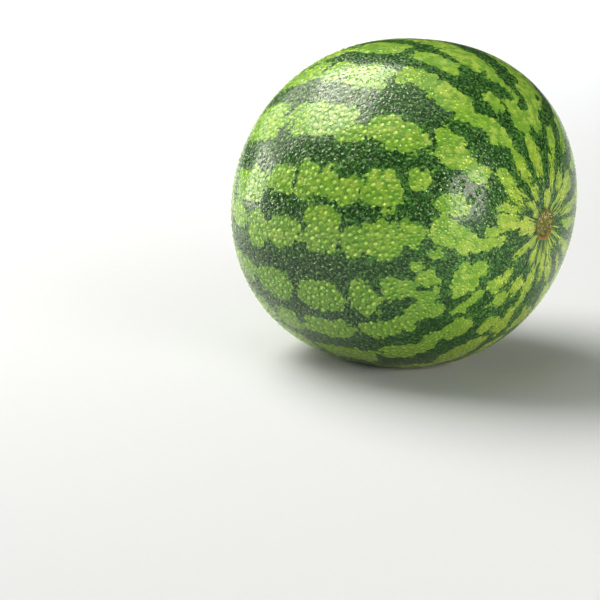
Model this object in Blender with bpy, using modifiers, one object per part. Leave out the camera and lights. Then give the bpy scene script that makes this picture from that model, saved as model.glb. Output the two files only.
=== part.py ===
# A whole watermelon lying on its ground spot, made as the one solid that it grew as.
#
# The core line runs along X, from the cut stalk at -X to the blossom scar at +X, and +Z is up.
# The rind is a turned outline, the blossom scar and the stalk are part of that outline, and
# a few formulas then lean the turned form out of true, as a fruit that grew lying down is.
# All lengths are in metres. The origin is under the middle of the fruit, on the ground.

from math import atan2, copysign, cos, exp, hypot, pi, radians, sin

import bpy
from mathutils import Vector, noise

# The fruit's size
HALF_LENGTH = 0.113  # from the middle to either end, along the core line
HALF_WIDTH = 0.110  # from the core line to the rind, at the fullest girth
PLUMPNESS = 2.26  # 2 gives an ellipse, and more fills the shoulders out

# How the fruit leans out of a true turned form
NOD = 0.026  # the top shoulder near the scar is fuller by this share
OVAL = 0.0124  # the girth is wider one way than across it, by this share each way
OVAL_LEAN = radians(55)  # the wide way, from +Y up towards +Z
UNEVENNESS = 0.0006  # height of the soft swells on the rind
SWELL_SIZE = 0.055  # from one swell to the next

# The ground spot, where the fruit lay and grew flat
GROUND_DEPTH = 0.1059  # the flat lies this far under the core line
GROUND_BLEND = 0.0012  # the flat runs into the rind over this height

# The blossom scar: a corky ring in a shallow dimple
SCAR_RADIUS = 0.0096  # to the crest of the ring
SCAR_RING_HEIGHT = 0.0011
SCAR_RING_WIDTH = 0.0014
SCAR_FLOOR_DEPTH = 0.0007  # the disc inside the ring lies this much lower
SCAR_DIMPLE_DEPTH = 0.0022
SCAR_DIMPLE_RADIUS = 0.017

# The stalk: a short cut stub on a flared foot, in a dimple
STALK_RADIUS = 0.0040
STALK_LENGTH = 0.0125
STALK_RIDGES = 5
STALK_RIDGE_SHARE = 0.10  # of the stalk's radius
STALK_FOOT_RADIUS = 0.0088
STALK_FOOT_HEIGHT = 0.0038
STALK_END_SWELL = 1.12  # the cut end is thicker than the stalk by this factor
STALK_BEND = 0.0022  # how far the cut end leans sideways
STALK_DIMPLE_DEPTH = 0.0045
STALK_DIMPLE_RADIUS = 0.021

# How finely the outline is divided
SEGMENTS = 64  # round the core line
FINE_STEP = 0.0012  # along the rind at the scar
STALK_STEP = 0.0026  # along the rind at the stalk
COARSE_STEP = 0.0090  # along the rind at the girth
STEP_GROWTH = 0.25  # how fast the steps widen away from the ends
FINE_ZONE = 0.0135  # the scar's own stretch, at the fine step
MERGE_DISTANCE = 0.00002  # joins the turned outline's ends on the core line

RIND_GREEN = (0.13, 0.30, 0.06, 1.0)
RIND_ROUGHNESS = 0.38


def bell(distance, width):
    # A smooth hump, 1 in the middle and about 0.02 at twice the width
    return exp(-((distance / width) ** 2))


def plump_curve(turn):
    # The plain outline at this turn: 0 at the scar, pi at the stalk
    power = 2 / PLUMPNESS
    side = 1 if turn < pi / 2 else -1
    along = HALF_LENGTH * side * abs(cos(turn)) ** power
    out = HALF_WIDTH * max(sin(turn), 0.0) ** power
    return along, out


def scar_relief(out):
    # How far the scar's ring, disc and dimple stand out along the core line
    dimple = SCAR_DIMPLE_DEPTH * bell(out, SCAR_DIMPLE_RADIUS)
    ring = SCAR_RING_HEIGHT * bell(out - SCAR_RADIUS, SCAR_RING_WIDTH)
    disc = SCAR_FLOOR_DEPTH * bell(out, 0.8 * SCAR_RADIUS)
    return ring - disc - dimple


def stalk_relief(out):
    # How far the dimple round the stalk is sunk into the rind
    return STALK_DIMPLE_DEPTH * bell(out, STALK_DIMPLE_RADIUS)


def step_at(way, whole):
    # The outline's step after this much of its length, finer towards both ends
    from_scar = FINE_STEP + STEP_GROWTH * max(0.0, way - FINE_ZONE)
    from_stalk = STALK_STEP + STEP_GROWTH * max(0.0, whole - way - STALK_FOOT_RADIUS)
    return min(COARSE_STEP, from_scar, from_stalk)


def walk_outline():
    # The turns to place outline points at, read off a fine walk along the plain curve
    walk = [pi * i / 4000 for i in range(4001)]
    points = [plump_curve(turn) for turn in walk]
    ways = [0.0]
    for (x0, r0), (x1, r1) in zip(points, points[1:]):
        ways.append(ways[-1] + hypot(x1 - x0, r1 - r0))
    turns = [walk[0]]
    last = 0.0
    for turn, way in zip(walk, ways):
        if way - last >= step_at(last, ways[-1]):
            turns.append(turn)
            last = way
    return turns


def rind_outline():
    # From the middle of the scar, over the girth, to the foot of the stalk
    outline = []
    for turn in walk_outline():
        along, out = plump_curve(turn)
        if turn < pi / 2:
            along += scar_relief(out)
        else:
            if out < STALK_FOOT_RADIUS + STALK_STEP:
                break
            along += stalk_relief(out)
        outline.append((along, out))
    return outline


def stalk_outline():
    # From the flared foot, along the stub and over its cut end, to the core line
    foot = -HALF_LENGTH + STALK_DIMPLE_DEPTH
    outline = []
    for i in range(6):
        share = i / 5
        out = STALK_RADIUS + (STALK_FOOT_RADIUS - STALK_RADIUS) * (1 - share) ** 2
        outline.append((foot - STALK_FOOT_HEIGHT * share**1.5, out))
    tip = foot - STALK_FOOT_HEIGHT - STALK_LENGTH
    end_radius = STALK_RADIUS * STALK_END_SWELL
    for share in (0.3, 0.6, 0.85):
        radius = STALK_RADIUS + (end_radius - STALK_RADIUS) * share**2
        outline.append((foot - STALK_FOOT_HEIGHT - STALK_LENGTH * share, radius))
    outline.append((tip + 0.0004, end_radius))
    outline.append((tip, end_radius - 0.0006))
    outline.append((tip, 0.5 * end_radius))
    outline.append((tip, 0.0))
    return outline


def fuller(lon, along, out):
    # The share by which this spot of the rind lies further out than the turned form
    sine = min(1.0, out / HALF_WIDTH) ** (PLUMPNESS / 2)
    cosine = copysign(min(1.0, abs(along) / HALF_LENGTH) ** (PLUMPNESS / 2), along)
    nod = NOD * sin(lon) * 2 * sine * cosine
    oval = OVAL * cos(2 * (lon - OVAL_LEAN)) * sine**2
    return 1 + nod + oval


def grown(point):
    # Moves a point of the turned form, which stands on Z, to where the fruit has it
    along, out = point.z, hypot(point.x, point.y)
    lon = atan2(point.y, point.x)
    spot = Vector((along, out * cos(lon), out * sin(lon)))
    beyond = -HALF_LENGTH + STALK_DIMPLE_DEPTH - along
    if beyond > 0 and out < STALK_FOOT_RADIUS:
        share = min(1.0, beyond / (STALK_FOOT_HEIGHT + STALK_LENGTH))
        ridge = 1 + STALK_RIDGE_SHARE * cos(STALK_RIDGES * lon) * min(1.0, 3 * share)
        spot.y *= ridge
        spot.z *= ridge
        spot.z += STALK_BEND * share**2
        return spot
    spot *= fuller(lon, along, out)
    swell = noise.noise(spot / SWELL_SIZE) * UNEVENNESS * min(1.0, out / STALK_DIMPLE_RADIUS)
    spot += spot.normalized() * swell
    return spot


def settled(height):
    # Flattens what lies under the ground spot, with a soft edge
    floor = -GROUND_DEPTH
    if height >= floor + GROUND_BLEND:
        return height
    if height <= floor - GROUND_BLEND:
        return floor
    return floor + (height - floor + GROUND_BLEND) ** 2 / (4 * GROUND_BLEND)


def turned_form(collection):
    # Turns the outline about Z with a Screw modifier, and returns the closed mesh
    outline = rind_outline() + stalk_outline()
    corners = [(out, 0.0, along) for along, out in outline]
    edges = [(i, i + 1) for i in range(len(corners) - 1)]
    profile = bpy.data.meshes.new("outline")
    profile.from_pydata(corners, edges, [])
    turned = bpy.data.objects.new("outline", profile)
    collection.objects.link(turned)
    screw = turned.modifiers.new("turn", "SCREW")
    screw.axis = "Z"
    screw.steps = SEGMENTS
    screw.render_steps = SEGMENTS
    screw.use_merge_vertices = True
    screw.merge_threshold = MERGE_DISTANCE
    bpy.context.view_layer.update()
    graph = bpy.context.evaluated_depsgraph_get()
    mesh = bpy.data.meshes.new_from_object(turned.evaluated_get(graph))
    bpy.data.objects.remove(turned)
    bpy.data.meshes.remove(profile)
    mesh.name = "watermelon"
    return mesh


def grow(mesh):
    # Leans the turned form out of true, settles it on its ground spot and centres it
    for vertex in mesh.vertices:
        vertex.co = grown(vertex.co)
        vertex.co.z = settled(vertex.co.z)
    low = Vector([min(v.co[i] for v in mesh.vertices) for i in range(3)])
    high = Vector([max(v.co[i] for v in mesh.vertices) for i in range(3)])
    origin = Vector(((low.x + high.x) / 2, (low.y + high.y) / 2, low.z))
    for vertex in mesh.vertices:
        vertex.co -= origin
    mesh.update()


def rind_material():
    material = bpy.data.materials.new("rind")
    material.use_nodes = True
    shader = material.node_tree.nodes["Principled BSDF"]
    shader.inputs["Base Color"].default_value = RIND_GREEN
    shader.inputs["Roughness"].default_value = RIND_ROUGHNESS
    shader.inputs["Metallic"].default_value = 0.0
    return material


def clear_scene():
    for thing in list(bpy.data.objects):
        bpy.data.objects.remove(thing)


def main():
    clear_scene()
    collection = bpy.data.collections.new("Watermelon")
    bpy.context.scene.collection.children.link(collection)
    mesh = turned_form(collection)
    grow(mesh)
    mesh.shade_smooth()
    mesh.set_sharp_from_angle(angle=radians(50))
    mesh.materials.append(rind_material())
    fruit = bpy.data.objects.new("watermelon", mesh)
    collection.objects.link(fruit)


main()
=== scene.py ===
# A whole striped watermelon, wet from the tap, lying on a pale studio floor.
# Everything is in metres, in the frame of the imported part: the core line runs along X, from
# the cut stalk at -X to the blossom scar at +X, and +Z is up.

import math

import bpy
import numpy as np
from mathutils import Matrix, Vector


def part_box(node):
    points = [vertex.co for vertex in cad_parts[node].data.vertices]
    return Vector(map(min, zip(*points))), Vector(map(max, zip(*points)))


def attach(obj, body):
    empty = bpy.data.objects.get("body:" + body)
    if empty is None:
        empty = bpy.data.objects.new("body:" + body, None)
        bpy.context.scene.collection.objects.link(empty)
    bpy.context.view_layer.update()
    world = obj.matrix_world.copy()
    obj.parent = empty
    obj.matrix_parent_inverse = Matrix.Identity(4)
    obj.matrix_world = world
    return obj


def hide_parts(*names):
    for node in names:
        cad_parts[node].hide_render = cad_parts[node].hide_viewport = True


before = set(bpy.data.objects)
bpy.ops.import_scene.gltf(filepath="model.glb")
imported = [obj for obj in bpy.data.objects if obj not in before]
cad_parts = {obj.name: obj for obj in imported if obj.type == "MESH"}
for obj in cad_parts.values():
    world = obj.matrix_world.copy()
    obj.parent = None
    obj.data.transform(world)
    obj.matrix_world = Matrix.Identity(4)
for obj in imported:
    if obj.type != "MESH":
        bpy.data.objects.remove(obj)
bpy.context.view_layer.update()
nodeLow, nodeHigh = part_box("watermelon")


def linear(hexColour):
    # sRGB hex to the linear numbers that shaders work in
    values = [int(hexColour[i : i + 2], 16) / 255 for i in (1, 3, 5)]
    values = [v / 12.92 if v <= 0.04045 else ((v + 0.055) / 1.055) ** 2.4 for v in values]
    return (*values, 1.0)


def addNode(tree, kind, settings=None, links=None):
    # Adds a shader node, sets its properties or sockets, and links sockets to other nodes' outputs
    node = tree.nodes.new(kind)
    for name, value in (settings or {}).items():
        if isinstance(name, str) and hasattr(node, name):
            setattr(node, name, value)
        else:
            node.inputs[name].default_value = value
    for name, output in (links or {}).items():
        tree.links.new(output, node.inputs[name])
    return node


def smoothStep(value, low, high):
    share = np.clip((value - low) / (high - low), 0, 1)
    return share * share * (3 - 2 * share)


def bell(distance, width):
    return np.exp(-((distance / width) ** 2))


def addObject(name, data):
    thing = bpy.data.objects.new(name, data)
    bpy.context.scene.collection.objects.link(thing)
    return thing


def meshFrom(name, points, faces, material):
    mesh = bpy.data.meshes.new(name)
    mesh.from_pydata(points, [], faces)
    mesh.materials.append(material)
    mesh.shade_smooth()
    return addObject(name, mesh)


def addAttribute(mesh, name, values):
    # One number, or one vector, for every point of the mesh
    flat = np.asarray(values, np.float32)
    kind = "FLOAT_VECTOR" if flat.ndim == 2 else "FLOAT"
    attribute = mesh.attributes.new(name, kind, "POINT")
    attribute.data.foreach_set("vector" if flat.ndim == 2 else "value", flat.ravel())


# The rind's form, the same as the solid's
fruit = {
    "halfLength": 0.113,  # along the core line
    "halfWidth": 0.110,  # from the core line to the rind
    "plumpness": 2.26,  # 2 is an ellipse, more is fuller
    "nod": 0.026,  # how much fuller the top shoulder is near the scar
    "oval": 0.0124,
    "ovalLean": math.radians(55),
    "groundDepth": 0.1059,  # the flat spot is this far under the core line
    "groundBlend": 0.0012,
    "groundStretch": (0.8, 1, 1),  # the pale spot is longer than wide
    "scarRadius": 0.0096,
    "ringHeight": 0.0011,
    "ringWidth": 0.0014,
    "scarFloor": 0.0007,
    "scarDimple": 0.0022,
    "scarDimpleRadius": 0.017,
    "stalkDimple": 0.0045,
    "stalkDimpleRadius": 0.021,
    "shadeLon": 230,  # degrees round the core line to the middle of the painted shade, low on the -Y side
    "shadeReach": 47,  # degrees
    "shadeFrom": (45, 110),  # mm from the scar
    "segments": 336,
    "fineStep": 0.0004,  # between rows at the scar
    "coarseStep": 0.0019,  # between rows at the girth
    "stepGrowth": 0.05,  # how fast the rows widen away from both ends
    "scarZone": 0.0135,  # from the scar's middle, and all of it at the fine step
    "stalkZone": 0.010,  # the same at the stalk
}


def plumpCurve(turn):
    # The plain outline: how far along the core line, and how far out from it
    power = 2 / fruit["plumpness"]
    cosine = np.cos(turn)
    along = fruit["halfLength"] * np.sign(cosine) * np.abs(cosine) ** power
    out = fruit["halfWidth"] * np.maximum(np.sin(turn), 0) ** power
    return along, out


def outlineRows():
    # The turns where the rind's rows lie, with each row's way from the scar along the rind
    walk = np.linspace(0, math.pi, 20001)
    along, out = plumpCurve(walk)
    ways = np.concatenate([[0], np.cumsum(np.hypot(np.diff(along), np.diff(out)))])
    rows = [0.0]
    while rows[-1] < ways[-1]:
        pastScar = max(0, rows[-1] - fruit["scarZone"])
        pastStalk = max(0, ways[-1] - rows[-1] - fruit["stalkZone"])
        fromScar = fruit["fineStep"] + fruit["stepGrowth"] * pastScar
        fromStalk = fruit["fineStep"] * 2 + fruit["stepGrowth"] * pastStalk
        rows.append(rows[-1] + min(fruit["coarseStep"], fromScar, fromStalk))
    rows[-1] = ways[-1]
    return np.interp(rows, ways, walk), np.array(rows)


def grow(along, out, lon):
    # Leans the turned form out of true, as the solid does, and gives it its ground spot
    sine = np.clip(out / fruit["halfWidth"], 0, 1) ** (fruit["plumpness"] / 2)
    cosine = np.clip(np.abs(along) / fruit["halfLength"], 0, 1) ** (fruit["plumpness"] / 2)
    cosine = cosine * np.sign(along)
    nod = fruit["nod"] * np.sin(lon) * 2 * sine * cosine
    oval = fruit["oval"] * np.cos(2 * (lon - fruit["ovalLean"])) * sine**2
    fuller = 1 + nod + oval
    x = along * fuller
    y = out * np.cos(lon) * fuller
    z = out * np.sin(lon) * fuller
    floor, blend = -fruit["groundDepth"], fruit["groundBlend"]
    soft = floor + (z - floor + blend) ** 2 / (4 * blend)
    z = np.where(z > floor + blend, z, np.where(z < floor - blend, floor, soft))
    return np.stack([x, y, z], -1)


def gridFaces(rows, segments):
    # Quads between closed rows of points
    i, j = np.meshgrid(np.arange(rows - 1), np.arange(segments), indexing="ij")
    k = (j + 1) % segments
    corners = [i * segments + j, (i + 1) * segments + j, (i + 1) * segments + k, i * segments + k]
    return np.stack(corners, -1).reshape(-1, 4).tolist()


# The light patches, column by column from scar to stalk. Each patch is (from and to in degrees
# round the core line, from and to in millimetres from the scar along the rind).
patches = {
    "top far": [(68, 95, 10, 23), (68, 79, 21, 43), (66, 76, 47, 66), (80, 90, 59, 78)],
    "top far lower": [(72, 84, 73, 97), (64, 78, 86, 132), (60, 76, 134, 170)],
    "top": [(91, 105, 29, 58), (92, 102, 56, 85), (100, 108, 82, 100), (88, 93, 87, 112)],
    "top lower": [
        (86, 97, 104, 145), (99, 107, 117, 155), (83, 92, 139, 180), (95, 106, 162, 205),
    ],
    "upper": [(110, 123, 19, 30), (111, 123, 32, 51), (114, 120, 49, 62), (112, 122, 61, 86)],
    "upper middle": [(115, 124, 84, 104), (111, 123, 95, 122), (111, 120, 122, 150)],
    "upper lower": [(113, 126, 151, 184), (112, 124, 186, 207), (111, 124, 209, 256)],
    "middle": [(127, 150, 11, 17), (127, 140, 15, 26), (137, 149, 27, 50), (131, 142, 40, 58)],
    "middle mid": [
        (138, 148, 60, 80), (134, 147, 72, 97), (130, 143, 87, 104), (134, 146, 103, 148),
    ],
    "middle lower": [(139, 148, 147, 172), (133, 147, 156, 214), (132, 149, 217, 266)],
    "front": [(157, 200, 11, 19), (158, 188, 17, 29), (151, 160, 30, 50), (158, 177, 25, 48)],
    "front mid": [
        (157, 168, 70, 93), (151, 159, 96, 111), (155, 168, 112, 140), (158, 169, 141, 157),
    ],
    "front lower": [
        (156, 167, 156, 172), (156, 168, 173, 190), (158, 168, 191, 213), (160, 173, 215, 262),
    ],
    "low front": [
        (170, 181, 44, 61), (179, 190, 40, 70), (173, 186, 64, 82), (167, 183, 77, 93),
    ],
    "low front mid": [
        (171, 182, 96, 112), (173, 187, 107, 138), (175, 187, 137, 152), (170, 186, 151, 179),
    ],
    "lower": [
        (203, 226, 11, 20), (205, 214, 19, 36), (194, 206, 56, 80), (200, 212, 62, 83),
        (193, 200, 89, 103),
    ],
    "lower mid": [
        (202, 211, 89, 106), (210, 218, 91, 107), (194, 204, 106, 127), (207, 216, 103, 118),
    ],
    "lower low": [
        (211, 220, 110, 126), (195, 210, 130, 150), (213, 221, 124, 152), (196, 208, 152, 190),
    ],
    "under": [
        (232, 249, 12, 28), (214, 225, 38, 63), (215, 221, 62, 79), (225, 237, 77, 101),
        (226, 232, 99, 113),
    ],
    "under low": [(227, 237, 114, 152), (212, 222, 155, 196), (228, 240, 155, 200)],
    "bottom": [
        (255, 264, 13, 26), (234, 248, 35, 52), (229, 239, 48, 67), (240, 249, 70, 88),
        (247, 262, 29, 50),
    ],
    "bottom low": [
        (250, 261, 51, 84), (245, 257, 89, 128), (246, 257, 130, 176), (265, 279, 12, 40),
    ],
    "bottom far": [(266, 281, 59, 83), (262, 272, 88, 130), (268, 280, 133, 170)],
    "far side": [
        (283, 297, 19, 46), (306, 314, 32, 50), (320, 334, 24, 50), (345, 359, 20, 46),
        (4, 16, 20, 48),
    ],
    "far top": [
        (26, 47, 18, 46), (49, 62, 25, 38), (33, 38, 10, 17), (46, 52, 10, 22), (18, 24, 10, 21),
    ],
    "far streaks": [
        (283, 291, 10, 18), (298, 305, 10, 21), (311, 318, 10, 22), (325, 333, 10, 20),
        (340, 346, 10, 19),
    ],
    "spots": [
        (132, 136, 30, 37), (167, 170, 116, 124), (216, 221, 80, 89), (184, 188, 87, 95),
        (188, 193, 97, 106),
    ],
}

# How the rest of the rind is patterned: the same kind of columns, placed by a seeded draw
wild = {
    "seed": 7,
    "newColumns": [291, 309, 329, 351, 11, 35, 53],  # degrees
    "newFrom": 50,  # mm from the scar
    "goesOn": [  # columns that go on from above, in degrees, and from where, in mm from the scar
        (69, 174), (88, 184), (101, 209), (117, 260), (140, 270), (166, 266), (180, 183),
        (202, 194), (217, 200), (234, 204), (251, 180), (274, 174),
    ],
    "endWay": 338,
    "patchLength": (20, 42),
    "neck": (1.5, 3.5),  # dark gap between patches
    "halfWidth": (4.6, 7.4),  # degrees
    "wander": 2.4,  # degrees either way
}


def wildPatches():
    # Takes the columns above on to the stalk, and adds new ones on the far side
    draw = np.random.default_rng(wild["seed"])
    made = []
    for lon, way in [(lon, wild["newFrom"]) for lon in wild["newColumns"]] + wild["goesOn"]:
        while way < wild["endWay"]:
            length = draw.uniform(*wild["patchLength"])
            half = draw.uniform(*wild["halfWidth"])
            middle = lon + draw.uniform(-wild["wander"], wild["wander"])
            made.append((middle - half, middle + half, way, min(way + length, wild["endWay"])))
            way += length + draw.uniform(*wild["neck"])
    return made


# How a patch is rounded, and how neighbours meet
patchForm = {
    "squareness": 2.7,  # 2 is an ellipse, more has fuller corners
    "narrowest": 8,  # mm, nearer the core line than this a patch gets no narrower
    "softness": (0.15, 0.7),  # mm, how softly neighbours run together, at the ends and the girth
    "softGrowth": 1 / 90,  # how fast that grows with the radius
    "fullerBy": 0.1,  # mm, added round the scar, where patches nearly touch
    "leanerBy": 0.5,  # mm, taken off again further out
    "leanerFrom": (22, 60),  # mm from the scar
}


def patchDepth(lon, way, radius):
    # How deep inside a light patch each point is, in mm, and below 0 how far outside
    # lon in degrees, way and radius in mm
    total = np.zeros_like(lon)
    merge = np.clip(radius * patchForm["softGrowth"], *patchForm["softness"])
    wide = np.maximum(radius, patchForm["narrowest"])
    power = patchForm["squareness"]
    for fromLon, toLon, fromWay, toWay in sum(patches.values(), []) + wildPatches():
        middle, half = (fromLon + toLon) / 2, (toLon - fromLon) / 2
        aside = (lon - middle + 180) % 360 - 180
        halfWidth = np.radians(half) * wide
        across = np.radians(np.abs(aside)) * wide / halfWidth
        down = np.abs(way - (fromWay + toWay) / 2) / ((toWay - fromWay) / 2)
        reach = (across**power + down**power) ** (1 / power)
        depth = (1 - reach) * np.minimum(halfWidth, (toWay - fromWay) / 2)
        total += np.exp(np.clip(depth, -14, 14) / merge)
    leaner = patchForm["leanerBy"] * smoothStep(way, *patchForm["leanerFrom"])
    fuller = patchForm["fullerBy"] - leaner
    return np.clip(merge * np.log(total + 1e-9) + fuller, -12, 12)


# The space that the pattern's noises are drawn in
growthSpace = {
    "leastWidth": 0.036,  # from its middle line, also at both ends
    "endStretch": 0.35,  # the share that a step along the rind has there
    "endReach": (0.010, 0.055),  # from either end, where that share grows to 1
}


def growthPlaces(lon, ways, out):
    # Where the pattern's own space has each point. Near both ends it stays wide and is drawn
    # out along the rind, so that what is a cell at the girth is a streak at the ends.
    wide = (out**4 + growthSpace["leastWidth"] ** 4) ** 0.25
    fromEnd = np.minimum(ways, ways[-1] - ways)
    least = growthSpace["endStretch"]
    stretch = least + (1 - least) * smoothStep(fromEnd, *growthSpace["endReach"])
    step = np.sqrt(np.maximum((np.gradient(ways) * stretch) ** 2 - np.gradient(wide) ** 2, 1e-9))
    down = np.cumsum(step)
    wide, down = wide[:, None], down[:, None] + 0 * lon
    return np.stack([wide * np.cos(lon), wide * np.sin(lon), down], -1)


def rindOutline(turns):
    # The plain outline with the scar's ring, disc and dimple, and the stalk's dimple
    along, out = plumpCurve(turns)
    ring = fruit["ringHeight"] * bell(out - fruit["scarRadius"], fruit["ringWidth"])
    disc = fruit["scarFloor"] * bell(out, 0.8 * fruit["scarRadius"])
    dimple = fruit["scarDimple"] * bell(out, fruit["scarDimpleRadius"])
    stalkDimple = fruit["stalkDimple"] * bell(out, fruit["stalkDimpleRadius"])
    return along + np.where(turns < math.pi / 2, ring - disc - dimple, stalkDimple), out


# Pits in the scar's disc: degrees round, mm from the middle, mm across, mm deep
scarPits = [
    (64, 6.6, 2.6, 0.5), (118, 5.6, 2.2, 0.45), (92, 3.4, 2.0, 0.5), (168, 4.6, 2.4, 0.4),
    (20, 5.4, 2.2, 0.4), (300, 6.4, 2.8, 0.5), (250, 7.0, 3.0, 0.45), (335, 3.4, 2.0, 0.35),
    (205, 6.4, 2.2, 0.35), (5, 0.6, 1.8, 0.4),
]


def rindMesh(material):
    turns, ways = outlineRows()
    along, out = rindOutline(turns)
    lon = np.linspace(0, 2 * math.pi, fruit["segments"], endpoint=False)[None, :]
    points = grow(along[:, None] + 0 * lon, out[:, None] + 0 * lon, lon)
    pitDepth = 0 * lon * ways[:, None]
    for degrees, reach, across, deep in scarPits:
        aside = points[..., 1] - reach / 1000 * math.cos(math.radians(degrees))
        above = points[..., 2] - reach / 1000 * math.sin(math.radians(degrees))
        pit = deep * bell(np.hypot(aside, above), across / 2000)
        pitDepth = np.maximum(pitDepth, np.where(ways[:, None] < 2 * fruit["scarRadius"], pit, 0))
    points[..., 0] -= pitDepth / 1000
    rows, segments = len(ways) - 2, fruit["segments"]
    allPoints = withEnds(points)
    faces = gridFaces(rows, segments)
    first, last = rows * segments, rows * segments + 1
    for j in range(segments):
        k = (j + 1) % segments
        faces.append((first, j, k))
        faces.append((last, first - segments + k, first - segments + j))
    shift = shiftToFrame(allPoints)
    rind = meshFrom("rind", allPoints + shift, faces, material)
    way = 1000 * ways[:, None] + 0 * lon
    depth = patchDepth(np.degrees(lon) + 0 * way, way, 1000 * out[:, None] + 0 * lon)
    addAttribute(rind.data, "patchDepth", withEnds(depth))
    addAttribute(rind.data, "growth", withEnds(growthPlaces(lon, ways, out)))
    # Painted shade: the greens low on the -Y side, away from the scar, are made darker
    aside = (np.degrees(lon) - fruit["shadeLon"] + 180) % 360 - 180
    paintedShade = bell(aside, fruit["shadeReach"]) * smoothStep(way, *fruit["shadeFrom"])
    addAttribute(rind.data, "paintedShade", withEnds(paintedShade))
    addAttribute(rind.data, "fromScar", withEnds(way))
    addAttribute(rind.data, "fromEnd", withEnds(np.minimum(way, way[-1] - way)))
    addAttribute(rind.data, "pitDepth", withEnds(pitDepth / 1000))
    underside = (points + np.array([0, 0, fruit["groundDepth"]])) * fruit["groundStretch"]
    addAttribute(rind.data, "fromGround", withEnds(1000 * np.linalg.norm(underside, axis=-1)))
    return rind, shift


def withEnds(grid):
    # The inner rows' points in one list, then one point for each end
    return np.concatenate([grid[1:-1].reshape(-1, *grid.shape[2:]), grid[[0, -1]].mean(1)])


def shiftToFrame(points):
    # The scar's end and the ground spot lie where the solid has them
    middle = (nodeLow.y + nodeHigh.y) / 2
    return np.array([nodeHigh.x - points[:, 0].max(), middle, nodeLow.z - points[:, 2].min()])


# Waxy melon rind, wet all over: a thin wax bloom under a film of water gives a soft sheen, and
# the skin's two greens meet in ragged lobes
rindLook = {
    "paleDeep": "#6F9F38",  # light patches, from their deeper to their brighter spots
    "pale": "#8AB53C",
    "paleBright": "#A9C654",
    "shadedPatch": "#4F7A2A",  # light patches under the painted shade, low on the -Y side
    "shadeShare": 0.7,  # of that colour there, at the most
    "ripe": "#C2BC42",  # yellow tinge of the patches round the ground spot and near the scar
    "ripeRoundGround": (40, 130, 0.6, 0),  # mm from it, and the share of the tinge there
    "ripeRoundScar": (10, 80, 0.3, 0),
    "dark": "#36652C",  # dark bands
    "darkDeep": "#1A3A17",
    "freckleAndGlint": "#6F9A4E",  # flecks in them: partly the skin's own, partly painted glints of mist
    "specksLeftInShade": 0.3,  # share of their specks and flecks left under the painted shade
    "fringe": "#4C8034",  # where light and dark meet
    "fringeFrom": (-4.5, 0.5),  # mm inside a patch's edge, and below 0 outside
    "sunless": "#D9C77A",  # the ground spot
    "groundSpot": (18, 44),  # mm, where it begins to fade, and its end
    "groundRag": 26,  # mm, how ragged its edge is
    "lobes": [(9.0, 6.0), (3.6, 3.0)],  # mm, size of the lobes and how far they push a patch's edge
    "lobeRest": 0.55,  # this share of its size from its middle, a lobe pushes nothing
    "lobesFrom": (10, 72, 0.10, 1),  # mm from either end, and the share of lobes and rags there
    "warp": (11.0, 0.006),  # mm, and metres: how coarsely and how far the lobes are pushed about
    "rag": 2.0,  # mm, the fine raggedness of an edge
    "ragPush": 4.4,
    "edgeBlur": (-0.3, 0.4),  # mm
    "mottle": 2.6,  # mm, the speckle in the dark bands
    "flecks": 1.5,  # mm, pale flecks in them, partly painted glints of mist
    "hair": 2.1,  # mm, thin streaks that run out from both ends
    "hairStretch": 0.12,  # how much a step along the rind counts in them
    "streaksTill": (30, 75, -1, 0),  # mm from either end, and the share of streaks there
    "cloud": 16.0,  # mm, soft changes of green from place to place
    "cloudPush": 8,  # mm, how far they shift the fringe
    "grain": 5.0,  # mm, deeper spots in the light patches
    "mist": 2.7,  # mm, fine water mist, drawn coarser than the real 0.5 mm so that it shows
    "mistDepth": 0.00042,  # metres
    "roughness": 0.16,
    "ior": 1.40,  # between wax and a film of water
    "ringBrown": "#5A4A2A",  # corky ring round the scar
    "ringOlive": "#7C7440",
    "ringRust": "#A26A3C",  # its lower side
    "rustHeight": (0.095, 0.104),  # metres above the ground
    "ringEdge": (10.7, 11.4),  # mm from the scar's middle
    "discOlive": "#8E9A44",  # old skin inside it
    "discDark": "#56522A",
    "discEdge": (9.4, 10.0),
    "fleck": "#D8CD98",  # dried spots in its upper half
    "fleckHeight": (0.102, 0.112),
    "pitShade": (0.00012, 0.00034),  # metres, how deep a pit is where it begins to darken
    "scarRag": 1.6,  # mm
    "cork": 2.2,  # mm, from crack to crack
    "scarEdge": (11, 12),  # mm, where the dry cork ends and the wet wax begins
    "scarRoughness": 0.75,
}


def smoothRange(low, high, toLow=0, toHigh=1):
    # The settings of a Map Range node that eases from one value to another
    steps = {"From Min": low, "From Max": high, "To Min": toLow, "To Max": toHigh}
    return {"interpolation_type": "SMOOTHSTEP", **steps}


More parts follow.
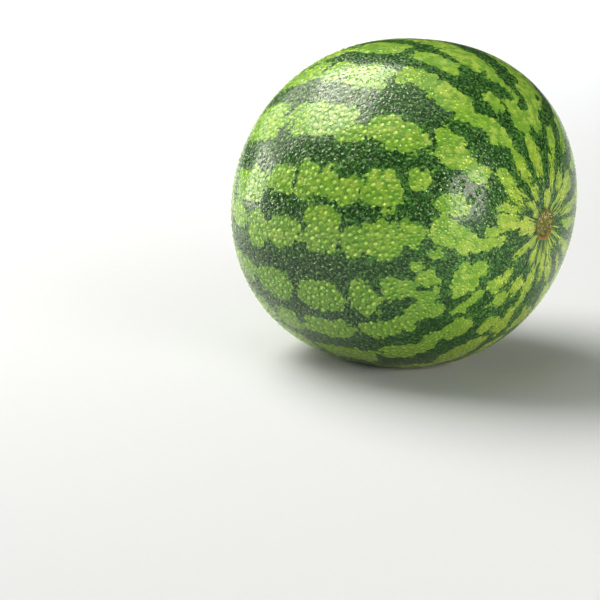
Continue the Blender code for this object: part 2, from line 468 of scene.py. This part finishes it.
def waxyRind():
    look = rindLook
    material = bpy.data.materials.new("waxyMelonRind")
    material.use_nodes = True
    tree = material.node_tree
    shader = tree.nodes["Principled BSDF"]
    carried = {}  # what the mesh has for each point
    for name in ("growth", "patchDepth", "fromScar", "fromEnd", "fromGround", "pitDepth", "paintedShade"):
        carried[name] = addNode(tree, "ShaderNodeAttribute", {"attribute_name": name}).outputs
    growth, depth = carried["growth"]["Vector"], carried["patchDepth"]["Fac"]
    fromScar, fromEnd = carried["fromScar"]["Fac"], carried["fromEnd"]["Fac"]
    ground, pits = carried["fromGround"]["Fac"], carried["pitDepth"]["Fac"]
    paintedShade = carried["paintedShade"]["Fac"]
    place = addNode(tree, "ShaderNodeTexCoord").outputs["Object"]
    settings = {"operation": "MULTIPLY", 1: (1, 1, look["hairStretch"])}
    drawnOut = addNode(tree, "ShaderNodeVectorMath", settings, {0: growth}).outputs["Vector"]

    # Noises, each at its real size
    noises = {}
    for name, size, vector, detail in (
        ("warp", look["warp"][0], growth, 2.0),
        ("rag", look["rag"], growth, 4.0),
        ("grain", look["grain"], growth, 4.0),
        ("flecks", look["flecks"], place, 1.0),
        ("hair", look["hair"], drawnOut, 2.0),
        ("cloud", look["cloud"], growth, 2.0),
        ("mottle", look["mottle"], growth, 3.0),
        ("cork", look["cork"], place, 3.0),
    ):
        settings = {"Scale": 1000 / size, "Detail": detail, "Roughness": 0.6}
        noises[name] = addNode(tree, "ShaderNodeTexNoise", settings, {"Vector": vector}).outputs

    # How deep a point lies in a light patch, in mm, once lobes and rags have pushed its edge about
    settings = {"operation": "MULTIPLY_ADD", 1: (look["warp"][1],) * 3}
    links = {0: noises["warp"]["Color"], 2: growth}
    warped = addNode(tree, "ShaderNodeVectorMath", settings, links).outputs["Vector"]
    pushShare = addNode(
        tree, "ShaderNodeMapRange", smoothRange(*look["lobesFrom"]), {"Value": fromEnd}
    ).outputs["Result"]
    settings = {"operation": "MULTIPLY_ADD", 1: look["ragPush"], 2: -look["ragPush"] / 2}
    edge = addNode(tree, "ShaderNodeMath", settings, {0: noises["rag"]["Fac"]}).outputs[0]
    for size, push in look["lobes"]:
        lobe = addNode(
            tree, "ShaderNodeTexVoronoi", {"Scale": 1000 / size}, {"Vector": warped}
        ).outputs["Distance"]
        settings = {"operation": "MULTIPLY_ADD", 1: -push, 2: look["lobeRest"] * push}
        lobe = addNode(tree, "ShaderNodeMath", settings, {0: lobe}).outputs[0]
        edge = addNode(
            tree, "ShaderNodeMath", {"operation": "ADD"}, {0: edge, 1: lobe}
        ).outputs[0]
    settings = {"operation": "MULTIPLY_ADD"}
    edge = addNode(
        tree, "ShaderNodeMath", settings, {0: edge, 1: pushShare, 2: depth}
    ).outputs[0]

    # Dark bands: speckled, and paler where a patch is near. Under the painted shade they keep fewer
    # specks and flecks, so they look darker
    settings = {"operation": "MULTIPLY_ADD", 1: look["cloudPush"], 2: -look["cloudPush"] / 2}
    cloudPush = addNode(
        tree, "ShaderNodeMath", settings, {0: noises["cloud"]["Fac"]}
    ).outputs[0]
    nearPatch = addNode(
        tree, "ShaderNodeMath", {"operation": "ADD"}, {0: edge, 1: cloudPush}
    ).outputs[0]
    nearPatch = addNode(
        tree, "ShaderNodeMapRange", smoothRange(*look["fringeFrom"]), {"Value": nearPatch}
    ).outputs["Result"]
    speckle = addNode(
        tree, "ShaderNodeMapRange", smoothRange(0.4, 0.66), {"Value": noises["mottle"]["Fac"]}
    ).outputs["Result"]
    outOfShade = addNode(
        tree, "ShaderNodeMapRange", smoothRange(0, 1, 1, look["specksLeftInShade"]), {"Value": paintedShade}
    ).outputs["Result"]
    speckle = addNode(
        tree, "ShaderNodeMath", {"operation": "MULTIPLY"}, {0: speckle, 1: outOfShade}
    ).outputs[0]
    settings = {"data_type": "RGBA", 6: linear(look["darkDeep"]), 7: linear(look["dark"])}
    skin = addNode(tree, "ShaderNodeMix", settings, {0: speckle}).outputs[2]
    fringe = addNode(
        tree, "ShaderNodeMath", {"operation": "MULTIPLY"}, {0: nearPatch, 1: speckle}
    ).outputs[0]
    fringe = addNode(
        tree, "ShaderNodeMath", {"operation": "MULTIPLY"}, {0: fringe, 1: pushShare}
    ).outputs[0]
    settings = {"data_type": "RGBA", 7: linear(look["fringe"])}
    skin = addNode(tree, "ShaderNodeMix", settings, {0: fringe, 6: skin}).outputs[2]
    # Pale flecks in the dark bands: partly the skin's own specks, partly painted glints of the mist
    links = {"Value": noises["flecks"]["Fac"]}
    share = addNode(
        tree, "ShaderNodeMapRange", smoothRange(0.54, 0.68, 0, 0.8), links
    ).outputs["Result"]
    share = addNode(
        tree, "ShaderNodeMath", {"operation": "MULTIPLY"}, {0: share, 1: outOfShade}
    ).outputs[0]
    settings = {"data_type": "RGBA", 7: linear(look["freckleAndGlint"])}
    skin = addNode(tree, "ShaderNodeMix", settings, {0: share, 6: skin}).outputs[2]

    # Light patches over them
    clouded = addNode(
        tree, "ShaderNodeMapRange", smoothRange(0.35, 0.65), {"Value": noises["cloud"]["Fac"]}
    ).outputs["Result"]
    settings = {"data_type": "RGBA", 6: linear(look["pale"]), 7: linear(look["paleBright"])}
    patch = addNode(tree, "ShaderNodeMix", settings, {0: clouded}).outputs[2]
    grain = addNode(
        tree, "ShaderNodeMapRange", smoothRange(0.40, 0.62), {"Value": noises["grain"]["Fac"]}
    ).outputs["Result"]
    settings = {"data_type": "RGBA", 6: linear(look["paleDeep"])}
    patch = addNode(tree, "ShaderNodeMix", settings, {0: grain, 7: patch}).outputs[2]
    for way, reach in ((ground, look["ripeRoundGround"]), (fromScar, look["ripeRoundScar"])):
        settings = smoothRange(*reach)
        share = addNode(tree, "ShaderNodeMapRange", settings, {"Value": way}).outputs["Result"]
        settings = {"data_type": "RGBA", 7: linear(look["ripe"])}
        patch = addNode(tree, "ShaderNodeMix", settings, {0: share, 6: patch}).outputs[2]
    # Painted shade: light patches low on the -Y side are mixed towards a darker green
    settings = {"operation": "MULTIPLY", 1: look["shadeShare"]}
    share = addNode(tree, "ShaderNodeMath", settings, {0: paintedShade}).outputs[0]
    settings = {"data_type": "RGBA", 7: linear(look["shadedPatch"])}
    patch = addNode(tree, "ShaderNodeMix", settings, {0: share, 6: patch}).outputs[2]
    settings = {"From Min": 0.46, "From Max": 0.70, "To Min": -0.3, "To Max": 3.0}
    hair = addNode(
        tree, "ShaderNodeMapRange", settings, {"Value": noises["hair"]["Fac"]}
    ).outputs["Result"]
    nearEnd = addNode(
        tree, "ShaderNodeMapRange", smoothRange(*look["streaksTill"]), {"Value": fromEnd}
    ).outputs["Result"]
    settings = {"operation": "MULTIPLY_ADD"}
    edge = addNode(tree, "ShaderNodeMath", settings, {0: hair, 1: nearEnd, 2: edge}).outputs[0]
    isPatch = addNode(
        tree, "ShaderNodeMapRange", smoothRange(*look["edgeBlur"]), {"Value": edge}
    ).outputs["Result"]
    skin = addNode(
        tree, "ShaderNodeMix", {"data_type": "RGBA"}, {0: isPatch, 6: skin, 7: patch}
    ).outputs[2]

    # The sunless ground spot
    settings = {"operation": "MULTIPLY_ADD", 1: look["groundRag"], 2: -look["groundRag"] / 2}
    groundPush = addNode(
        tree, "ShaderNodeMath", settings, {0: noises["warp"]["Fac"]}
    ).outputs[0]
    ground = addNode(
        tree, "ShaderNodeMath", {"operation": "ADD"}, {0: ground, 1: groundPush}
    ).outputs[0]
    share = addNode(
        tree, "ShaderNodeMapRange", smoothRange(*look["groundSpot"], 1, 0), {"Value": ground}
    ).outputs["Result"]
    settings = {"data_type": "RGBA", 7: linear(look["sunless"])}
    skin = addNode(tree, "ShaderNodeMix", settings, {0: share, 6: skin}).outputs[2]

    # The blossom scar: old olive skin with pits and flecks, inside a corky ring
    settings = {"operation": "MULTIPLY_ADD", 1: look["scarRag"]}
    scarEdge = addNode(
        tree, "ShaderNodeMath", settings, {0: noises["cork"]["Fac"], 2: fromScar}
    ).outputs[0]
    corky = addNode(
        tree, "ShaderNodeMapRange", smoothRange(0.42, 0.66), {"Value": noises["cork"]["Fac"]}
    ).outputs["Result"]
    height = addNode(tree, "ShaderNodeSeparateXYZ", {}, {0: place}).outputs["Z"]
    below = addNode(
        tree, "ShaderNodeMapRange", smoothRange(*look["rustHeight"], 1, 0), {"Value": height}
    ).outputs["Result"]
    mixed = {"data_type": "RGBA", 6: linear(look["ringBrown"]), 7: linear(look["ringOlive"])}
    ring = addNode(tree, "ShaderNodeMix", mixed, {0: corky}).outputs[2]
    mixed = {"data_type": "RGBA", 7: linear(look["ringRust"])}
    ring = addNode(tree, "ShaderNodeMix", mixed, {0: below, 6: ring}).outputs[2]
    mixed = {"data_type": "RGBA", 6: linear(look["discDark"]), 7: linear(look["discOlive"])}
    disc = addNode(tree, "ShaderNodeMix", mixed, {0: corky}).outputs[2]
    above = addNode(
        tree, "ShaderNodeMapRange", smoothRange(*look["fleckHeight"], -0.12, 0), {"Value": height}
    ).outputs["Result"]
    above = addNode(
        tree, "ShaderNodeMath", {"operation": "ADD"}, {0: above, 1: noises["flecks"]["Fac"]}
    ).outputs[0]
    pale = addNode(
        tree, "ShaderNodeMapRange", smoothRange(0.57, 0.64), {"Value": above}
    ).outputs["Result"]
    mixed = {"data_type": "RGBA", 7: linear(look["fleck"])}
    disc = addNode(tree, "ShaderNodeMix", mixed, {0: pale, 6: disc}).outputs[2]
    for colour, edgeAt in ((ring, look["ringEdge"]), (disc, look["discEdge"])):
        settings = smoothRange(*edgeAt, 1, 0)
        share = addNode(
            tree, "ShaderNodeMapRange", settings, {"Value": scarEdge}
        ).outputs["Result"]
        links = {0: share, 6: skin, 7: colour}
        skin = addNode(tree, "ShaderNodeMix", {"data_type": "RGBA"}, links).outputs[2]
    dark = addNode(
        tree, "ShaderNodeMapRange", smoothRange(*look["pitShade"]), {"Value": pits}
    ).outputs["Result"]
    settings = {"data_type": "RGBA", 7: linear(look["discDark"])}
    skin = addNode(tree, "ShaderNodeMix", settings, {0: dark, 6: skin}).outputs[2]
    tree.links.new(skin, shader.inputs["Base Color"])

    # Mist on the rind: drops that slope, with level film between them. The scar is dry and rough
    isScar = addNode(
        tree, "ShaderNodeMapRange", smoothRange(*look["scarEdge"], 1, 0), {"Value": scarEdge}
    ).outputs["Result"]
    cells = addNode(
        tree, "ShaderNodeTexVoronoi", {"Scale": 1000 / look["mist"]}, {"Vector": place}
    ).outputs["Distance"]
    settings = {"From Min": 0.06, "From Max": 0.44}
    drops = addNode(tree, "ShaderNodeMapRange", settings, {"Value": cells}).outputs["Result"]
    links = {0: isScar, 2: drops, 3: noises["cork"]["Fac"]}
    relief = addNode(tree, "ShaderNodeMix", {"data_type": "FLOAT"}, links).outputs[0]
    settings = {"Strength": 0.7, "Distance": look["mistDepth"]}
    bump = addNode(tree, "ShaderNodeBump", settings, {"Height": relief}).outputs["Normal"]
    tree.links.new(bump, shader.inputs["Normal"])
    settings = {"To Min": look["roughness"], "To Max": look["scarRoughness"]}
    roughness = addNode(
        tree, "ShaderNodeMapRange", settings, {"Value": isScar}
    ).outputs["Result"]
    tree.links.new(roughness, shader.inputs["Roughness"])
    shader.inputs["IOR"].default_value = look["ior"]
    return material


# The cut stalk's form, the same as the solid's
stalk = {
    "radius": 0.0040,
    "length": 0.0125,
    "ridges": 5,
    "ridgeShare": 0.10,  # of the radius
    "footRadius": 0.0088,
    "footHeight": 0.0038,
    "footSunk": 0.0008,  # the foot's rim runs this far into the rind
    "fineRibs": (17, 0.035),  # how many, and their share of the radius
    "fineTwist": 40,  # radians from foot to cut, which makes them wavy
    "endSwell": 1.12,
    "endDrop": 0.0004,  # the cut's edge is rounded over this length
    "endRound": 0.0005,  # and this far inward
    "fibre": 0.9,  # mm, from fibre to fibre
    "pore": 0.9,  # mm, from vessel to vessel
    "bend": 0.0022,
    "segments": 96,
    "rows": 44,
    "foot": "#2F5226",  # still green where it leaves the rind
    "green": "#727F3C",  # dried green skin
    "straw": "#A08F5C",
    "pith": "#C9B98A",  # cut end
    "vessel": "#6B5A38",
}


def stalkOutline():
    # From the rim of the foot, along the stub, over the rounded edge of the cut, to its middle
    foot = -fruit["halfLength"] + fruit["stalkDimple"]
    share = np.linspace(0, 1, stalk["rows"])[:, None]
    flare = np.concatenate([
        foot + stalk["footSunk"] * (1 - share) ** 6 - stalk["footHeight"] * share**1.5,
        stalk["radius"] + (stalk["footRadius"] - stalk["radius"]) * (1 - share) ** 2,
    ], 1)
    stub = np.concatenate([
        foot - stalk["footHeight"] - (stalk["length"] - stalk["endDrop"]) * share,
        stalk["radius"] * (1 + (stalk["endSwell"] - 1) * share**2),
    ], 1)
    tip = foot - stalk["footHeight"] - stalk["length"]
    endRadius = stalk["radius"] * stalk["endSwell"]
    turn = np.linspace(0, math.pi / 2, 6)[1:, None]
    rim = np.concatenate([
        tip + stalk["endDrop"] * (1 - np.sin(turn)),
        endRadius - stalk["endRound"] * (1 - np.cos(turn)),
    ], 1)
    inward = np.linspace(1, 0, 12)[1:, None]
    cut = np.concatenate([
        tip + stalk["endRound"] * (1 - inward**2),
        (endRadius - stalk["endRound"]) * inward,
    ], 1)
    return np.concatenate([flare[:-1], stub, rim, cut])


def stalkMesh(material, shift):
    outline = stalkOutline()
    along, out = outline[:, :1], outline[:, 1:]
    lon = np.linspace(0, 2 * math.pi, stalk["segments"], endpoint=False)[None, :]
    beyond = -fruit["halfLength"] + fruit["stalkDimple"] - along
    share = np.clip(beyond / (stalk["footHeight"] + stalk["length"]), 0, 1)
    ribs, ribShare = stalk["fineRibs"]
    ridges = np.cos(stalk["ridges"] * lon) * stalk["ridgeShare"]
    ridges = ridges + ribShare * np.cos(ribs * lon + stalk["fineTwist"] * share)
    out = out * (1 + ridges * np.minimum(1, 3 * share))
    up = out * np.sin(lon) + stalk["bend"] * share**2
    points = np.stack([along + 0 * lon, out * np.cos(lon), up], -1)
    rows, segments = len(outline) - 1, stalk["segments"]
    faces = gridFaces(rows, segments)
    middle = points[-1].mean(0)[None, :]
    base = points[0].mean(0)[None, :]
    allPoints = np.concatenate([points[:-1].reshape(-1, 3), middle, base])
    first, last = (rows - 1) * segments, rows * segments
    for j in range(segments):
        k = (j + 1) % segments
        faces.append((last, first + k, first + j))
        faces.append((last + 1, j, k))
    piece = meshFrom("cutStalk", allPoints + shift, faces, material)
    fromCut = np.concatenate([(share[:-1] + 0 * lon).ravel(), [1.0, 0.0]])
    fromMiddle = np.concatenate([(outline[:-1, 1:] + 0 * lon).ravel() * 1000, [0.0, 0.0]])
    addAttribute(piece.data, "towardsCut", fromCut)
    addAttribute(piece.data, "fromMiddle", fromMiddle)
    return piece


def driedStalk():
    # Dried vine stem, cut across: ribbed skin gone from green to straw, and pale pith with a ring
    # of dark vessels
    material = bpy.data.materials.new("driedVineStalk")
    material.use_nodes = True
    tree = material.node_tree
    shader = tree.nodes["Principled BSDF"]
    place = addNode(tree, "ShaderNodeTexCoord").outputs["Object"]
    towardsCut = addNode(
        tree, "ShaderNodeAttribute", {"attribute_name": "towardsCut"}
    ).outputs["Fac"]
    fromMiddle = addNode(
        tree, "ShaderNodeAttribute", {"attribute_name": "fromMiddle"}
    ).outputs["Fac"]
    drawn = addNode(
        tree, "ShaderNodeMapping", {"Scale": (0.2, 1, 1)}, {"Vector": place}
    ).outputs["Vector"]
    fibre = addNode(
        tree, "ShaderNodeTexNoise", {"Scale": 1000 / stalk["fibre"], "Detail": 4}, {"Vector": drawn}
    ).outputs["Fac"]
    streak = addNode(
        tree, "ShaderNodeMapRange", smoothRange(0.38, 0.62), {"Value": fibre}
    ).outputs["Result"]
    settings = {"data_type": "RGBA", 6: linear(stalk["green"]), 7: linear(stalk["straw"])}
    skin = addNode(tree, "ShaderNodeMix", settings, {0: streak}).outputs[2]
    dried = addNode(
        tree, "ShaderNodeMapRange", smoothRange(0.02, 0.30), {"Value": towardsCut}
    ).outputs["Result"]
    settings = {"data_type": "RGBA", 6: linear(stalk["foot"])}
    skin = addNode(tree, "ShaderNodeMix", settings, {0: dried, 7: skin}).outputs[2]
    settings = {"Scale": 1000 / stalk["pore"]}
    pores = addNode(
        tree, "ShaderNodeTexVoronoi", settings, {"Vector": place}
    ).outputs["Distance"]
    pore = addNode(
        tree, "ShaderNodeMapRange", smoothRange(0.18, 0.34), {"Value": pores}
    ).outputs["Result"]
    settings = {"data_type": "RGBA", 6: linear(stalk["vessel"]), 7: linear(stalk["pith"])}
    pith = addNode(tree, "ShaderNodeMix", settings, {0: pore}).outputs[2]
    atEnd = addNode(
        tree, "ShaderNodeMapRange", smoothRange(0.97, 0.995), {"Value": towardsCut}
    ).outputs["Result"]
    inside = addNode(
        tree, "ShaderNodeMapRange", smoothRange(3.4, 4.0, 1, 0), {"Value": fromMiddle}
    ).outputs["Result"]
    isCut = addNode(
        tree, "ShaderNodeMath", {"operation": "MULTIPLY"}, {0: atEnd, 1: inside}
    ).outputs[0]
    skin = addNode(
        tree, "ShaderNodeMix", {"data_type": "RGBA"}, {0: isCut, 6: skin, 7: pith}
    ).outputs[2]
    tree.links.new(skin, shader.inputs["Base Color"])
    settings = {"Strength": 0.5, "Distance": 0.0004}
    bump = addNode(tree, "ShaderNodeBump", settings, {"Height": fibre}).outputs["Normal"]
    tree.links.new(bump, shader.inputs["Normal"])
    shader.inputs["Roughness"].default_value = 0.7
    return material


# Water beads standing on the wax
beads = {
    "seed": 11,
    "tries": 230000,
    "radius": (0.0005, 0.0023),  # smallest and largest
    "bias": 3.4,  # more gives more small beads
    "gap": 0.00012,  # between neighbours
    "height": 0.32,  # of the radius
    "sunk": 0.00025,  # their foot runs this far into the rind
    "dryShoulder": (0.30, 0.12, 0.95),  # direction of the part that has only mist on it
    "dryWithin": (0.55, 0.9),  # cosine from it: where beads begin to thin out, and the last ones
    "finerBy": 0.5,  # share of the radius that is lost near the scar
    "finerFrom": (0.04, 0.09),  # metres towards the scar, where that begins and is complete
    "fewerBy": 0.6,  # share of the beads that is left out close to the scar
    "fewerFrom": (0.085, 0.100),
    "clearOfScar": 0.0125,  # metres from the core line
    "clearOfStalk": 0.0095,
    "clearOfGround": 0.004,
    "wobble": (0.12, 0.06),  # how far an outline is from round, as an oval and as a triangle
    "fineBelow": 0.0010,  # beads with a smaller radius have fewer faces
    "perPiece": 180000,  # triangles
    "roughness": 0.18,
    "ior": 1.333,
    "away": (0.55, -0.75, -0.55),  # from the main light: the side of a bead where painted light stands in for the light a lens gathers
    "heartReach": (0.6, -0.1),  # cosine from that side: the heart's end low down, and at the top
    "heart": (1.54, 1.56, 1.38),  # painted light: how much brighter the skin under it looks: red, green, blue
    "rim": (0.70, 0.75, 0.66),  # painted shade: how much darker the skin under the rest of it looks
    "glint": 0.12,  # share of its mirroring that is left, as water this fine is dulled by mist
}


def beadPlaces():
    # Random spots on the rind, the largest beads first, where there is still room
    draw = np.random.default_rng(beads["seed"])
    turns = np.linspace(0, math.pi, 4001)
    along, out = rindOutline(turns)
    slant = np.hypot(np.diff(along), np.diff(out)) * (out[1:] + out[:-1]) / 2
    area = np.concatenate([[0], np.cumsum(slant)])
    turn = np.interp(draw.uniform(0, area[-1], beads["tries"]), area, turns)
    lon = draw.uniform(0, 2 * math.pi, beads["tries"])
    small, large = beads["radius"]
    radius = small + (large - small) * draw.uniform(0, 1, beads["tries"]) ** beads["bias"]
    spots = surfaceAt(turn, lon)
    radius *= 1 - beads["finerBy"] * smoothStep(spots[:, 0], *beads["finerFrom"])
    aside = surfaceAt(turn, lon + 0.002) - spots
    onward = surfaceAt(turn + 0.002, lon) - spots
    normal = np.cross(onward, aside)
    normal /= np.linalg.norm(normal, axis=1)[:, None] + 1e-12
    normal *= np.sign((normal * spots).sum(1))[:, None]
    dry = normal @ np.array(Vector(beads["dryShoulder"]).normalized())
    wet = 1 - smoothStep(dry, *beads["dryWithin"])
    wet *= 1 - beads["fewerBy"] * smoothStep(spots[:, 0], *beads["fewerFrom"])
    keep = draw.uniform(0, 1, beads["tries"]) < wet
    keep &= spots[:, 2] > -fruit["groundDepth"] + beads["clearOfGround"]
    clear = np.where(spots[:, 0] > 0, beads["clearOfScar"], beads["clearOfStalk"])
    keep &= np.hypot(spots[:, 1], spots[:, 2]) > clear
    order = [i for i in np.argsort(-radius) if keep[i]]
    cell = 2 * large + beads["gap"]
    taken, chosen = {}, []
    for i in order:
        home = tuple(np.floor(spots[i] / cell).astype(int))
        near = [
            k
            for dx in (-1, 0, 1)
            for dy in (-1, 0, 1)
            for dz in (-1, 0, 1)
            for k in taken.get((home[0] + dx, home[1] + dy, home[2] + dz), ())
        ]
        if near:
            room = np.linalg.norm(spots[near] - spots[i], axis=1) - radius[near] - radius[i]
            if room.min() < beads["gap"]:
                continue
        taken.setdefault(home, []).append(i)
        chosen.append(i)
    return spots[chosen], normal[chosen], radius[chosen]


def surfaceAt(turn, lon):
    along, out = rindOutline(turn)
    return grow(along, out, lon)


def beadShapes(spots, normals, radii, segments, levels):
    # Points of all these beads, and the faces and face slots of one: slot 0, with the painted
    # light, on its far side from the light, and 1, with the painted shade, elsewhere
    draw = np.random.default_rng(beads["seed"] + segments)
    away = np.array(Vector(beads["away"]).normalized())
    side = away - normals * (normals @ away)[:, None]
    side /= np.linalg.norm(side, axis=1)[:, None] + 1e-9
    angle = np.linspace(0, 2 * math.pi, segments, endpoint=False)
    phase = draw.uniform(0, 3, (2, len(spots), 1))
    oval, triangle = beads["wobble"]
    wobble = 1 + oval * np.cos(2 * (angle - phase[0])) + triangle * np.cos(3 * (angle - phase[1]))
    cosine, sine = np.cos(angle)[:, None], np.sin(angle)[:, None]
    ring = cosine * side[:, None] + sine * np.cross(normals, side)[:, None]
    ring *= (wobble * radii[:, None])[..., None]
    start = spots - normals * beads["sunk"]
    rise = normals * (beads["height"] * radii + beads["sunk"])[:, None]
    rings = [(start + rise * level)[:, None] + ring * math.sqrt(1 - level**2) for level in levels]
    points = np.concatenate([*rings, (start + rise)[:, None], start[:, None]], 1)
    faces = gridFaces(len(levels), segments)
    far = (np.cos(angle) + np.cos(np.roll(angle, -1))) / 2
    low, top = beads["heartReach"]
    slots = [1] * (segments * (len(levels) - 2)) + [0 if share > low else 1 for share in far]
    peak = len(levels) * segments
    for j in range(segments):
        k = (j + 1) % segments
        faces += [(peak, peak - segments + j, peak - segments + k), (peak + 1, k, j)]
        slots += [0 if far[j] > top else 1, 1]
    return points, faces, slots


def beadMeshes(materials, shift):
    spots, normals, radii = beadPlaces()
    large = radii > beads["fineBelow"]
    pieces = []
    for chosen, segments, levels in ((large, 12, (0.0, 0.4, 0.74)), (~large, 8, (0.0, 0.55))):
        those = spots[chosen], normals[chosen], radii[chosen]
        points, faces, slots = beadShapes(*those, segments, levels)
        step = beads["perPiece"] // (segments * 2 * len(levels))
        for first in range(0, len(points), step):
            part = points[first : first + step]
            offsets = range(0, part.shape[0] * part.shape[1], part.shape[1])
            allFaces = [[corner + at for corner in face] for at in offsets for face in faces]
            name = f"waterBeads{len(pieces) + 1}"
            piece = meshFrom(name, part.reshape(-1, 3) + shift, allFaces, materials[0])
            piece.data.materials.append(materials[1])
            allSlots = np.tile(np.array(slots, np.int32), len(part))
            piece.data.polygons.foreach_set("material_index", allSlots)
            piece.visible_shadow = False  # clear water: it gathers light, and hardly dims any
            pieces.append(piece)
    return pieces


def clearWater(name, paintedGain):
    # Clean water: clear and smooth. Its see-through colour paints light and shade on the skin under
    # it:
    # above 1 at a bead's heart, standing in for the light a lens gathers, and below 1 under the
    # rest, a painted shade
    material = bpy.data.materials.new(name)
    material.use_nodes = True
    tree = material.node_tree
    shine = tree.nodes["Principled BSDF"]
    shine.inputs["Base Color"].default_value = linear("#FFFFFF")
    shine.inputs["Metallic"].default_value = 1.0
    shine.inputs["Roughness"].default_value = beads["roughness"]
    settings = {"Color": (*paintedGain, 1.0)}
    through = addNode(tree, "ShaderNodeBsdfTransparent", settings).outputs["BSDF"]
    fresnel = addNode(tree, "ShaderNodeFresnel", {"IOR": beads["ior"]}).outputs["Fac"]
    settings = {"operation": "MULTIPLY", 1: beads["glint"]}
    mirrored = addNode(tree, "ShaderNodeMath", settings, {0: fresnel}).outputs[0]
    links = {0: mirrored, 1: through, 2: shine.outputs["BSDF"]}
    both = addNode(tree, "ShaderNodeMixShader", {}, links).outputs["Shader"]
    tree.links.new(both, tree.nodes["Material Output"].inputs["Surface"])
    return material


stage = {
    "floorColour": "#D1D5DA",
    "floorSize": 14.0,
    "floorRoughness": 0.9,
    "worldColour": "#FFFFFF",
    "worldStrength": 0.03,
    "lampColour": "#FFFAF2",  # a little warm, as softbox cloth is
    "floorLampColour": "#FFFFFF",
}


def plainMaterial(name, hexColour, roughness):
    material = bpy.data.materials.new(name)
    material.use_nodes = True
    shader = material.node_tree.nodes["Principled BSDF"]
    shader.inputs["Base Color"].default_value = linear(hexColour)
    shader.inputs["Roughness"].default_value = roughness
    return material


def makeStage():
    half = stage["floorSize"] / 2
    points = [(-half, -half, 0), (half, -half, 0), (half, half, 0), (-half, half, 0)]
    paper = plainMaterial("mattPaper", stage["floorColour"], stage["floorRoughness"])
    floor = meshFrom("floor", points, [(0, 1, 2, 3)], paper)
    world = bpy.data.worlds.new("studio")
    world.use_nodes = True
    background = world.node_tree.nodes["Background"]
    background.inputs["Color"].default_value = linear(stage["worldColour"])
    background.inputs["Strength"].default_value = stage["worldStrength"]
    bpy.context.scene.world = world
    bpy.context.scene.view_settings.view_transform = "Standard"


# The camera looks a little down at the scar's side
camera = {
    "azimuth": 35.54,  # degrees
    "elevation": 12.21,
    "distance": 1.6,  # metres, from the fruit's middle
    "lens": 142.2,  # mm on a 36 mm sensor
    "fruitRight": 0.0699,  # metres, the fruit lies this far right of the frame's middle
    "fruitUp": 0.0653,
}


def viewAxes(azimuth, elevation):
    a, e = math.radians(azimuth), math.radians(elevation)
    back = Vector((math.sin(a) * math.cos(e), -math.cos(a) * math.cos(e), math.sin(e)))
    right = Vector((math.cos(a), math.sin(a), 0))
    return back, right, back.cross(right)


def makeCamera(coreMiddle):
    back, right, up = viewAxes(camera["azimuth"], camera["elevation"])
    place = coreMiddle + back * camera["distance"]
    aim = coreMiddle - right * camera["fruitRight"] - up * camera["fruitUp"] - place
    lens = bpy.data.cameras.new("camera")
    lens.lens = camera["lens"]
    lens.sensor_width = 36
    lens.clip_start = 0.05
    eye = addObject("camera", lens)
    eye.location = place
    facing = (-back).rotation_difference(aim) @ back.to_track_quat("Z", "Y")
    eye.rotation_euler = facing.to_euler()
    bpy.context.scene.camera = eye


# Softboxes: size in metres, where they stand seen from the camera (right, up, towards it), and
# power in W. One with a spread in degrees hangs level and lights only the floor.
lamps = {
    "keyBox": {"size": 2.0, "height": 1.0, "place": (-1.12, 1.75, -0.62), "power": 48},
    "backBox": {"size": 1.9, "place": (-1.41, 1.2, -0.94), "power": 26},
    "topBox": {"size": 1.6, "place": (-0.3, 2.0, 0.1), "power": 9},
    "leftCard": {"size": 0.6, "height": 0.8, "place": (-1.4, 0.08, -0.55), "power": 9},
    "rightBox": {"size": 0.66, "place": (0.86, 0.24, 1.0), "power": 12.5},
    "rightFill": {"size": 1.0, "place": (1.5, 0.9, 1.2), "power": 1},
    "floorBox": {"size": 3.0, "place": (0.0, 1.6, -3.2), "power": 50, "spread": 90},
}


def makeLamps(coreMiddle):
    back, right = viewAxes(camera["azimuth"], 0)[:2]
    for name, lamp in lamps.items():
        light = bpy.data.lights.new(name, "AREA")
        light.shape = "RECTANGLE"
        light.size = lamp["size"]
        light.size_y = lamp.get("height", lamp["size"])
        light.energy = lamp["power"]
        colour = "floorLampColour" if "spread" in lamp else "lampColour"
        light.color = linear(stage[colour])[:3]
        light.spread = math.radians(lamp.get("spread", 180))
        thing = addObject(name, light)
        side, height, near = lamp["place"]
        thing.location = coreMiddle + right * side + Vector((0, 0, height)) + back * near
        if "spread" not in lamp:
            thing.rotation_euler = (thing.location - coreMiddle).to_track_quat("Z", "Y").to_euler()


rind, shift = rindMesh(waxyRind())
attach(rind, "root")
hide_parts("watermelon")
print("rind:", len(rind.data.polygons), "faces")

cutStalk = stalkMesh(driedStalk(), shift)
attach(cutStalk, "root")
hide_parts("watermelon")
print("stalk:", len(cutStalk.data.polygons), "faces")

water = [clearWater("waterBeadPaintedLight", beads["heart"]), clearWater("waterBeadPaintedShade", beads["rim"])]
for beadPiece in beadMeshes(water, shift):
    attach(beadPiece, "root")
    print("water beads:", len(beadPiece.data.polygons), "faces")

coreMiddle = Vector(shift)
makeStage()
makeCamera(coreMiddle)
makeLamps(coreMiddle)
print("stage, camera and lamps set")
